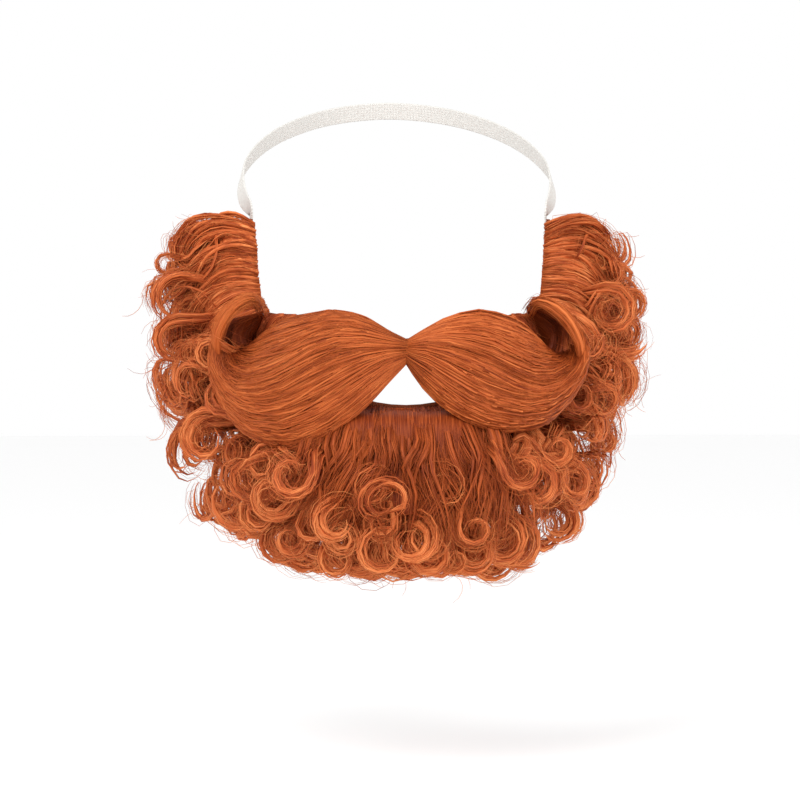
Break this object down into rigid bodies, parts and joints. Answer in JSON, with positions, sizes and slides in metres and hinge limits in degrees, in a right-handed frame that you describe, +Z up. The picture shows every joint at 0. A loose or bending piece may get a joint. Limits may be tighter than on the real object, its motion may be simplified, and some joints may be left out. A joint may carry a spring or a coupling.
{
  "type": "false beard",
  "caption": "Full curly false beard with a parted, rolled moustache on a fabric backing shaped to the face, held by an elastic band that runs round the back of the head.",
  "frame": {"origin": "on the wearer's skin at the middle of the upper lip, just under the nose, where the beard sits", "axes": "+Z up, -Y the way the face looks, +X towards the wearer's left"},
  "size_m": [0.2446, 0.2252, 0.2374],
  "materials": {
    "beard_fibre": "curled synthetic fibre with a soft sheen, auburn orange with darker roots",
    "moustache_fibre": "combed synthetic fibre with a soft sheen, auburn orange",
    "backing_fabric": "matt knitted fabric dyed to match the hair",
    "elastic": "white woven elastic with fine ribs"
  },
  "bodies": {
    "root": {"face_backing": "backing_fabric", "beard_hair": "beard_fibre", "sideburn_left": "beard_fibre", "sideburn_right": "beard_fibre", "moustache_left": "moustache_fibre", "moustache_right": "moustache_fibre", "elastic_band": "elastic"}
  },
  "joints": []
}
